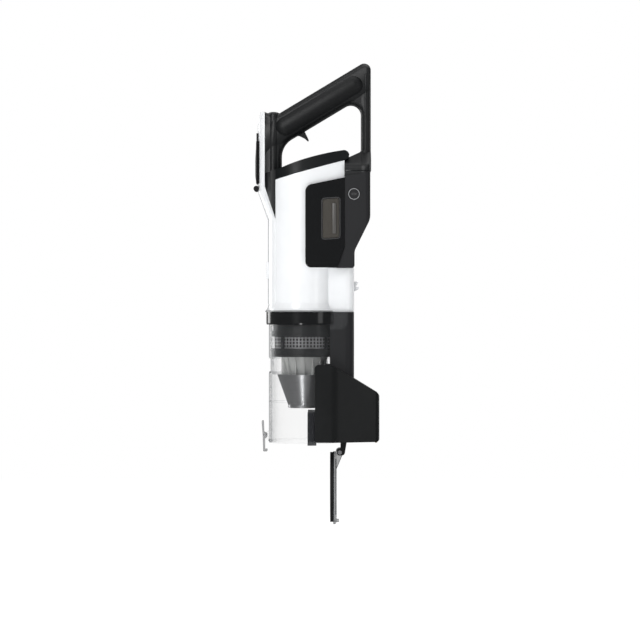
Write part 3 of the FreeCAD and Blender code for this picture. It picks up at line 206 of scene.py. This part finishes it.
# which finish each CAD piece takes
wornBy = {
    "whiteGloss": ["housing_left", "housing_right", "housing_skirt", "rear_spine_cover",
        "front_spine_cover", "cup_release_button"],
    "handlePlastic": ["top_cap", "trigger"],
    "handleShell": ["handle_left_shell", "handle_right_shell"],
    "softGrip": ["grip_pad"],
    "charcoal": ["battery_case", "gauge_button", "lower_spine"],
    "blackGloss": ["left_cheek", "right_cheek", "cup_collar", "mode_button"],
    "blackSatin": ["inlet_housing", "shroud_frame", "charge_jack", "trigger_switch"],
    "displayBlack": ["display_lens"],
    "windowGrey": ["left_release_button", "right_release_button"],
    "innerGrey": ["fan_shroud", "cup_catch", "vortex_finder", "filter_tray", "switch_plunger"],
    "stripGrey": ["dock_contact_strip"],
    "sealRubber": ["rest_bumper", "motor_mounts", "cup_seal", "wand_seal", "door_gasket"],
    "filterPaper": ["exhaust_filter", "pre_motor_filter"],
    "cellWrap": ["battery_cells"],
    "board": ["display_board", "battery_board", "control_board"],
    "copperStack": ["motor_stator"],
    "gold": ["wand_contacts"],
    "steel": ["trigger_pin", "motor_bearings", "motor_rotor", "motor_shaft", "latch_pin", "hinge_pin",
        "handle_screws"],
    "aluminium": ["impeller", "motor_end_plates"],
    "clearCup": ["clear_cup"],
    "clearDoor": ["cup_door", "door_latch"],
    "smoked": ["inlet_duct"],
    "paleFunnel": ["cyclone_funnel"],
    "coneMetal": ["cyclone_cone"],
    "perforated": ["shroud_drum"],
}

conePaint = {"colour": (0.46, 0.465, 0.475), "rough": 0.3, "brush": 900}
paint = Paint("coneMetal")
turned = paint.noise(conePaint["brush"], 3, 0.6, (0.06, 0.06, 1))
patches = paint.noise(30, 4)
paint.set(BaseColor=paint.blend(turned, (*[c * 0.86 for c in conePaint["colour"]], 1),
    (*[c * 1.1 for c in conePaint["colour"]], 1)))
paint.set(Metallic=0.95, Roughness=conePaint["rough"] + (turned - 0.5) * 0.14 + (patches - 0.5) * 0.06)
paint.set(Normal=paint.bump(turned, 0.06, 0.0002))
materials["coneMetal"] = paint.material

# round-cornered holes in rows round the drum, not cut but painted near-black as painted shade for the dark
# space seen through them
drumHoles = {"pitchRound": 0.0045, "pitchUp": 0.00385, "half": 0.0013, "lowZ": 0.1122, "rows": 4,
             "axisX": cupAxisX, "radius": 0.0385}
paint = Paint("perforated")
east = paint.place("X") - drumHoles["axisX"]
north = paint.place("Y")
up = paint.place("Z") - drumHoles["lowZ"]
around = north.sum("ARCTAN2", north, east) * drumHoles["radius"]
across = ((around / drumHoles["pitchRound"]).fraction() - 0.5).abs() * drumHoles["pitchRound"]
along = ((up / drumHoles["pitchUp"]).fraction() - 0.5).abs() * drumHoles["pitchUp"]
inset = drumHoles["half"] * 0.45
corner = ((across - inset).most(0.0) ** 2.0 + (along - inset).most(0.0) ** 2.0) ** 0.5
inRows = (up > 0.0) * (up < drumHoles["rows"] * drumHoles["pitchUp"])
# painted shade: the hole mask, coloured near-black below in place of the shade inside the drum
shadedHole = (corner < drumHoles["half"] - inset) * inRows
rim = (corner < drumHoles["half"] * 1.25 - inset) * inRows
steelGrain = paint.noise(700, 3, 0.6, (1, 1, 0.1))
plate = paint.blend(steelGrain, (0.17, 0.17, 0.175, 1), (0.24, 0.24, 0.245, 1))
paint.set(BaseColor=paint.blend(shadedHole, plate, (0.003, 0.003, 0.003, 1)))
paint.set(Metallic=0.6 - shadedHole * 0.6, Roughness=0.36 + (steelGrain - 0.5) * 0.1 + shadedHole * 0.5)
paint.set(Normal=paint.bump(1 - rim, 0.3, 0.0004))
materials["perforated"] = paint.material
print("drum and cone finishes")


def clearAll():
    # nothing stays selected from the step before
    if bpy.context.object and bpy.context.object.mode != "OBJECT":
        bpy.ops.object.mode_set(mode="OBJECT")
    bpy.ops.object.select_all(action="DESELECT")


def settle(piece, name, finish, body, smooth=40):
    # names a finished piece, applies its place and fastens it to a body
    clearAll()
    piece.select_set(True)
    bpy.context.view_layer.objects.active = piece
    bpy.ops.object.transform_apply(location=True, rotation=True, scale=True)
    bpy.ops.object.shade_smooth_by_angle(angle=math.radians(smooth))
    piece.name = name
    piece.data.name = name
    piece.data.materials.clear()
    piece.data.materials.append(materials[finish])
    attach(piece, body)


def applyAll(piece):
    bpy.context.view_layer.objects.active = piece
    for modifier in list(piece.modifiers):
        bpy.ops.object.modifier_apply(modifier=modifier.name)


def roundEdges(piece, width, segments=3, angle=30):
    bevel = piece.modifiers.new("round", "BEVEL")
    bevel.width, bevel.segments = width, segments
    bevel.limit_method, bevel.angle_limit = "ANGLE", math.radians(angle)
    applyAll(piece)


def block(centre, size, rounding=0.0, segments=3):
    # a box at its place, with rounded edges
    clearAll()
    bpy.ops.mesh.primitive_cube_add(size=1, location=centre)
    piece = bpy.context.object
    piece.scale = size
    bpy.ops.object.transform_apply(location=False, rotation=False, scale=True)
    if rounding:
        roundEdges(piece, rounding, segments)
    return piece


def curvedWall(radius, thick, angles, heights, centre, steps=14, rounding=0.0):
    # part of a round wall: an upright edge spun round the axis, then given its thickness
    clearAll()
    start, end = (math.radians(angle) for angle in angles)
    lowZ, highZ = heights
    bpy.ops.mesh.primitive_plane_add(size=1, location=(0, 0, 0))
    piece = bpy.context.object
    bpy.ops.object.mode_set(mode="EDIT")
    bpy.ops.mesh.delete(type="ONLY_FACE")
    bpy.ops.object.mode_set(mode="OBJECT")
    for corner, z in zip(piece.data.vertices, (lowZ, highZ, lowZ, highZ)):
        corner.co = (centre[0] + radius * math.cos(start), centre[1] + radius * math.sin(start), z)
    bpy.ops.object.mode_set(mode="EDIT")
    bpy.ops.mesh.select_mode(type="VERT")
    bpy.ops.mesh.select_all(action="SELECT")
    bpy.ops.mesh.remove_doubles(threshold=1e-6)
    bpy.ops.mesh.select_all(action="SELECT")
    bpy.ops.mesh.spin(steps=steps, angle=start - end, center=(centre[0], centre[1], 0), axis=(0, 0, 1))
    bpy.ops.mesh.select_all(action="SELECT")
    bpy.ops.mesh.remove_doubles(threshold=1e-6)
    bpy.ops.mesh.normals_make_consistent(inside=False)
    bpy.ops.object.mode_set(mode="OBJECT")
    solid = piece.modifiers.new("thick", "SOLIDIFY")
    solid.thickness, solid.offset = thick, 0
    applyAll(piece)
    if rounding:
        roundEdges(piece, rounding, 2)
    return piece


def ring(centre, major, minor, turn=(0, 0, 0), around=48, section=10, tall=1.35):
    # a bead with an oval section, taller along its axis than it stands out, and a flat inner face
    clearAll()
    bpy.ops.mesh.primitive_torus_add(location=centre, rotation=turn, major_radius=major, minor_radius=minor,
                                     major_segments=around, minor_segments=section)
    piece = bpy.context.object
    for corner in piece.data.vertices:
        reach = math.hypot(corner.co.x, corner.co.y)
        keep = max(reach, major - minor * 0.4) / reach
        corner.co = (corner.co.x * keep, corner.co.y * keep, corner.co.z * tall)
    return piece

# handle shells: the grain, and a soft roll towards each limb's edges
rolls = {
    "grip": {"through": (-0.0684, 0.3907), "angle": 31.0, "radius": 0.0166},
    "column": {"through": (-0.1066, 0.36), "angle": 90.0, "radius": 0.0105},
    "leg": {"through": (0.0042, 0.36), "angle": 90.0, "radius": 0.0075},
}


def rollHeight(paint, limb):
    east = paint.place("X") - limb["through"][0]
    up = paint.place("Z") - limb["through"][1]
    turn = math.radians(limb["angle"])
    off = (up * math.cos(turn) - east * math.sin(turn)) / limb["radius"]
    return (1 - (off * off).least(0.9)) ** 0.5 * limb["radius"]


paint = Paint("handleShell")
look = finishes["handlePlastic"]
height = rollHeight(paint, rolls["grip"]).most(rollHeight(paint, rolls["column"])).most(rollHeight(paint,
    rolls["leg"]))
grain = paint.noise(look["grain"], 2)
patches = paint.noise(*mottle["patches"])
wear = paint.noise(*mottle["wear"])
paint.set(BaseColor=paint.blend(patches, (0.0058, 0.0066, 0.0072, 1), (0.0072, 0.008, 0.0086, 1)),
    Shine=0.45)
paint.set(Roughness=0.46 + (wear - 0.5) * 0.12)
paint.set(Normal=paint.bump(grain, 0.05, 0.0002, paint.bump(height, 0.45, 1.0)))
materials["handleShell"] = paint.material

# dark saddle of the inlet box, reaching round the cup on both sides
saddle = {"radius": 0.0438, "thick": 0.0011, "from": 5, "to": 19, "lowZ": -0.0035, "highZ": 0.036,
    "rounding": 0.0004}
for side, name in ((1, "cupSaddleRight"), (-1, "cupSaddleLeft")):
    angles = (side * (90 - saddle["to"]), side * (90 - saddle["from"]))
    piece = curvedWall(saddle["radius"], saddle["thick"], angles, (saddle["lowZ"], saddle["highZ"]),
        (cupAxisX, 0),
                       rounding=saddle["rounding"])
    settle(piece, name, "smoked", "dust_cup")

# clear beads round the cup, at its waist and its open end
beads = {"cupWaistBead": (0.0825, 0.0419, 0.0007), "cupMouthBead": (0.0008, 0.0428, 0.0006),
    "cupFillLine": (0.0475, 0.0427, 0.0003)}
for name, (z, major, minor) in beads.items():
    piece = ring((cupAxisX, 0, z), major, minor, around=72)
    settle(piece, name, "clearCup", "dust_cup", 80)

# the charge gauge's pale ring, and a plain mark of three bars inside it
gauge = {"x": -0.0101, "z": 0.2946, "y": -0.0369, "ring": 0.0062, "line": 0.00042,
    "bar": (0.0006, 0.0004, 0.0032),
         "pitch": 0.0022, "shorter": 0.001}
piece = ring((gauge["x"], gauge["y"], gauge["z"]), gauge["ring"], gauge["line"], (math.radians(90), 0, 0))
settle(piece, "gaugeRing", "stripGrey", "charge_gauge", 80)
for i in range(3):
    at = (gauge["x"] + (i - 1) * gauge["pitch"], gauge["y"], gauge["z"])
    piece = block(at, (gauge["bar"][0], gauge["bar"][1], gauge["bar"][2] - abs(i - 1) * gauge["shorter"]),
        0.00015, 2)
    settle(piece, f"gaugeBar{i + 1}", "gaugeMark", "charge_gauge")
print("saddle, beads and gauge ring")


def outerY(node, x, z, side, reach=0.004):
    # how far out a CAD piece's face is, near a point of its side
    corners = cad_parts[node].data.vertices
    spots = [v.co.y for v in corners if abs(v.co.x - x) < reach and abs(v.co.z - z) < 0.03]
    return max(spots) if side > 0 else min(spots)


# raised rim round each battery release, laid on the cheek's curved face
window = {"x": -0.0375, "z": 0.2656, "halfWidth": 0.0102, "halfHeight": 0.0245, "band": 0.0011,
    "lean": 0.0015, "proud": 0.0005,
          "corner": 0.0028, "away": 0.06}
for side, name, cheek in ((1, "windowRimRight", "right_cheek"), (-1, "windowRimLeft", "left_cheek")):
    clearAll()
    bpy.ops.mesh.primitive_plane_add(size=2, location=(window["x"], side * window["away"], window["z"]),
        rotation=(math.radians(90), 0, 0))
    rim = bpy.context.object
    rim.scale = (window["halfWidth"] + window["band"], window["halfHeight"] + window["band"], 1)
    bpy.ops.object.transform_apply(location=True, rotation=True, scale=True)
    for corner in rim.data.vertices:
        if (corner.co.x > window["x"]) != (corner.co.z > window["z"]):
            corner.co.z += window["lean"] * (1 if corner.co.x > window["x"] else -1)
    bpy.ops.object.mode_set(mode="EDIT")
    bpy.ops.mesh.select_all(action="SELECT")
    bpy.ops.mesh.bevel(offset=window["corner"] + window["band"], segments=6, affect="VERTICES")
    bpy.ops.mesh.select_all(action="SELECT")
    bpy.ops.mesh.inset(thickness=window["band"], depth=0)
    bpy.ops.mesh.delete(type="FACE")
    bpy.ops.mesh.select_all(action="SELECT")
    bpy.ops.mesh.subdivide(number_cuts=3)
    bpy.ops.object.mode_set(mode="OBJECT")
    wrap = rim.modifiers.new("lie", "SHRINKWRAP")
    wrap.target, wrap.wrap_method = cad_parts[cheek], "PROJECT"
    wrap.use_project_x = wrap.use_project_z = False
    wrap.use_project_y, wrap.use_negative_direction = True, True
    wrap.offset = 0.0001
    applyAll(rim)
    solid = rim.modifiers.new("thick", "SOLIDIFY")
    solid.thickness, solid.offset = window["proud"], 0
    applyAll(rim)
    settle(rim, name, "rimGrey", "battery_pack", 60)

# painted highlight: a pale strip down each release button, standing in for the vertical highlight on its
# face
strip = {"x": window["x"] + 0.004, "size": (0.0044, 0.0008, 0.036), "rounding": 0.0003, "reach": 0.0016}
for side, name, button, body in ((1, "releaseHighlightRight", "right_release_button", "battery_button_right"),
                                 (-1, "releaseHighlightLeft", "left_release_button", "battery_button_left")):
    y = outerY(button, strip["x"], window["z"], side, strip["reach"])
    piece = block((strip["x"], y, window["z"]), strip["size"], strip["rounding"], 2)
    settle(piece, name, "releaseHighlightPaint", body)
print("window rims and strips")


def swell(name, limb, finish):
    # a rounded limb: a cylinder made oval, its ends rounded off, turned along the handle
    clearAll()
    bpy.ops.mesh.primitive_cylinder_add(vertices=72, radius=1, depth=limb["length"])
    piece = bpy.context.object
    piece.scale = (limb["across"], limb["sideways"], 1)
    bpy.ops.object.transform_apply(location=False, rotation=False, scale=True)
    roundEdges(piece, limb["ends"], 8, 50)
    piece.rotation_euler = (0, math.radians(90 - limb["angle"]), 0)
    piece.location = limb["centre"]
    settle(piece, name, finish, "main_body", 50)


# the handle's rounded sides: the soft sleeve round the grip and the swell of the front column
limbs = {
    "gripSleeve": {"centre": (-0.0512, 0, 0.4010), "angle": 31.0, "length": 0.122, "across": 0.0163,
        "sideways": 0.0205, "ends": 0.0155},
    "columnSwell": {"centre": (-0.1060, 0, 0.3520), "angle": 90.0, "length": 0.084, "across": 0.0092,
        "sideways": 0.0166, "ends": 0.007},
    "rearSwell": {"centre": (0.0044, 0, 0.3900), "angle": 90.0, "length": 0.1, "across": 0.0048,
        "sideways": 0.0158, "ends": 0.004},
}
for name, limb in limbs.items():
    swell(name, limb, "softGrip" if name == "gripSleeve" else "handleShell")

# parting bead between the handle's foot and the battery
seam = {"x": -0.0058, "z": 0.3225, "size": (0.0285, 0.0006, 0.0009), "rounding": 0.0002,
    "probe": (-0.006, 0.29)}
seams = {"footSeamLeft": -1, "footSeamRight": 1}
for name, side in seams.items():
    y = outerY("battery_case", *seam["probe"], side)
    piece = block((seam["x"], y, seam["z"]), seam["size"], seam["rounding"], 2)
    settle(piece, name, "blackGloss", "main_body")
print("handle swells and seams")

# finger ribs on the cup's front release
ribs = {"z": 0.2047, "x": -0.1147, "pitch": 0.0026, "count": 5, "size": (0.0005, 0.012, 0.0009)}
for i in range(ribs["count"]):
    z = ribs["z"] + (i - (ribs["count"] - 1) / 2) * ribs["pitch"]
    piece = block((ribs["x"], 0, z), ribs["size"], 0.0002, 2)
    settle(piece, f"releaseRib{i + 1}", "stripGrey", "cup_release")

# seam round the white housing's skirt, and the collar's bright bead
trims = {"skirtBead": ("blackGloss", "main_body", (housingAxisX, 0, 0.1557), 0.0441, 0.0005,
    "black_plastic"),
         "collarBead": ("blackGloss", "dust_cup", (cupAxisX, 0, 0.1416), 0.0452, 0.0006, "black_plastic")}
for name, (finish, body, at, major, minor, slotName) in trims.items():
    piece = ring(at, major, minor, around=96, section=8)
    settle(piece, name, finish, body, 80)
print("ribs and beads")

for finish, wearers in wornBy.items():
    for wearer in wearers:
        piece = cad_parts[wearer]
        piece.data.materials.clear()
        piece.data.materials.append(materials[finish])
print("finishes put on")

# floor, light and camera
studio = {"floorZ": -0.245, "floorHalf": 3.0, "camera": (-0.0504, -2.8809, 0.1452), "lens": 135,
    "skyLight": 0.16,
          "white": (1, 1, 1, 1)}
bpy.ops.object.select_all(action="DESELECT")
bpy.ops.mesh.primitive_plane_add(size=studio["floorHalf"] * 2, location=(0, 0, studio["floorZ"]))
floor = bpy.context.object
floor.name = "floor"
paint = Paint("floorPaint")
paint.set(BaseColor=(0.9, 0.9, 0.9, 1), Roughness=0.7, EmissionColor=(1, 1, 1, 1), EmissionStrength=0.85)
floor.data.materials.append(paint.material)
floor.visible_glossy = False

world = bpy.data.worlds.new("studio")
bpy.context.scene.world = world
world.use_nodes = True
sky = world.node_tree
background = sky.nodes["Background"]
background.inputs["Color"].default_value = studio["white"]
seen = sky.nodes.new("ShaderNodeBackground")
seen.inputs["Color"].default_value = studio["white"]
seen.inputs["Strength"].default_value = 1.0
background.inputs["Strength"].default_value = studio["skyLight"]
lightPath = sky.nodes.new("ShaderNodeLightPath")
choice = sky.nodes.new("ShaderNodeMixShader")
sky.links.new(lightPath.outputs["Is Camera Ray"], choice.inputs[0])
sky.links.new(background.outputs[0], choice.inputs[1])
sky.links.new(seen.outputs[0], choice.inputs[2])
sky.links.new(choice.outputs[0], sky.nodes["World Output"].inputs["Surface"])
bpy.context.scene.view_settings.view_transform = "Standard"

lamps = {
    "key": {"at": (-0.55, -1.15, 0.75), "size": (0.5, 1.1), "power": 11},
    "fill": {"at": (0.95, -0.9, 0.35), "size": (0.35, 1.3), "power": 1.6},
    "top": {"at": (0.0, 0.1, 1.3), "size": (1.0, 1.0), "power": 5},
    "low": {"at": (-0.16, -0.42, -0.17), "size": (0.04, 0.3), "power": 0.35},
    "rearLeft": {"at": (-0.9, 0.8, 0.5), "size": (0.4, 1.2), "power": 4},
    "rearRight": {"at": (0.9, 0.9, 0.5), "size": (0.4, 1.2), "power": 2.5},
}
aim = Vector((-0.05, 0, 0.16))
for name, lamp in lamps.items():
    data = bpy.data.lights.new(name, "AREA")
    data.shape = "RECTANGLE"
    data.size, data.size_y = lamp["size"]
    data.energy = lamp["power"]
    light = bpy.data.objects.new(name, data)
    light.location = lamp["at"]
    light.rotation_euler = (aim - Vector(lamp["at"])).to_track_quat("-Z", "Y").to_euler()
    bpy.context.scene.collection.objects.link(light)

lens = bpy.data.cameras.new("camera")
lens.lens, lens.sensor_width = studio["lens"], 36
camera = bpy.data.objects.new("camera", lens)
camera.location = studio["camera"]
camera.rotation_euler = (math.radians(90), 0, 0)
bpy.context.scene.collection.objects.link(camera)
bpy.context.scene.camera = camera
print("studio ready")

bpy.context.view_layer.update()
